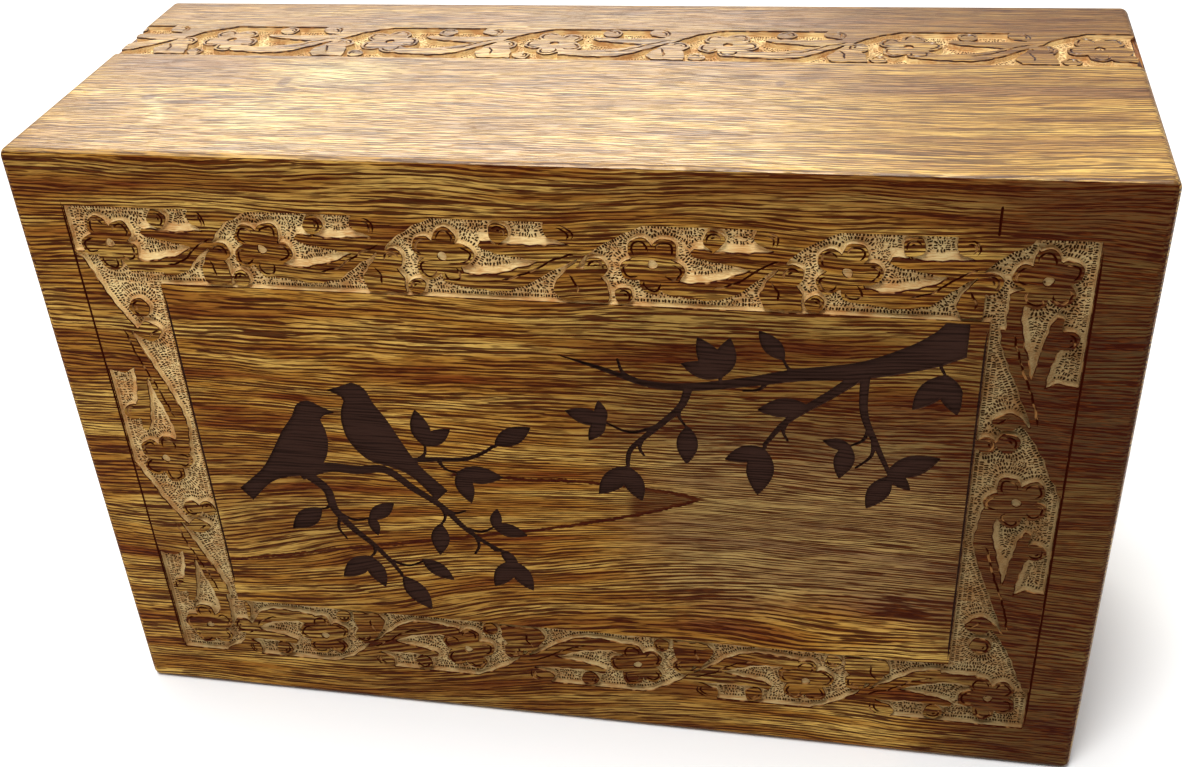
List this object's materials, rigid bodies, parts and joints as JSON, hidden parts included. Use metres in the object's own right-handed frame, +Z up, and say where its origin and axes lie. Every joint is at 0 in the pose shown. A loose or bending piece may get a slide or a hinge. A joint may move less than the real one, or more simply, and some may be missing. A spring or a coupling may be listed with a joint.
{
  "type": "cremation urn box",
  "caption": "Rectangular wooden box for cremated remains, with a carved floral border, a dark bird and branch picture on the front, and a screwed bottom plate.",
  "frame": {"origin": "middle of the underside, on the surface that the box stands on", "axes": "+X along the width, to the right when facing the carved picture, front towards -Y, +Z up"},
  "size_m": [0.292, 0.115, 0.189],
  "materials": {
    "front_wood": "golden brown stained hardwood, satin varnish; carved grounds of bare pale wood, picture burnt near black",
    "box_wood": "golden brown stained hardwood with dark pores, satin varnish",
    "top_wood": "lighter stained hardwood with two knots, satin varnish",
    "plate_wood": "stained hardwood, thin coat",
    "screw_steel": "zinc plated"
  },
  "bodies": {
    "root": {"front_panel": "front_wood", "back_panel": "box_wood", "left_side": "box_wood", "right_side": "box_wood", "top_panel": "top_wood", "bottom_plate": "plate_wood", "screw_front_left": "screw_steel", "screw_front_right": "screw_steel", "screw_back_left": "screw_steel", "screw_back_right": "screw_steel"}
  },
  "joints": []
}
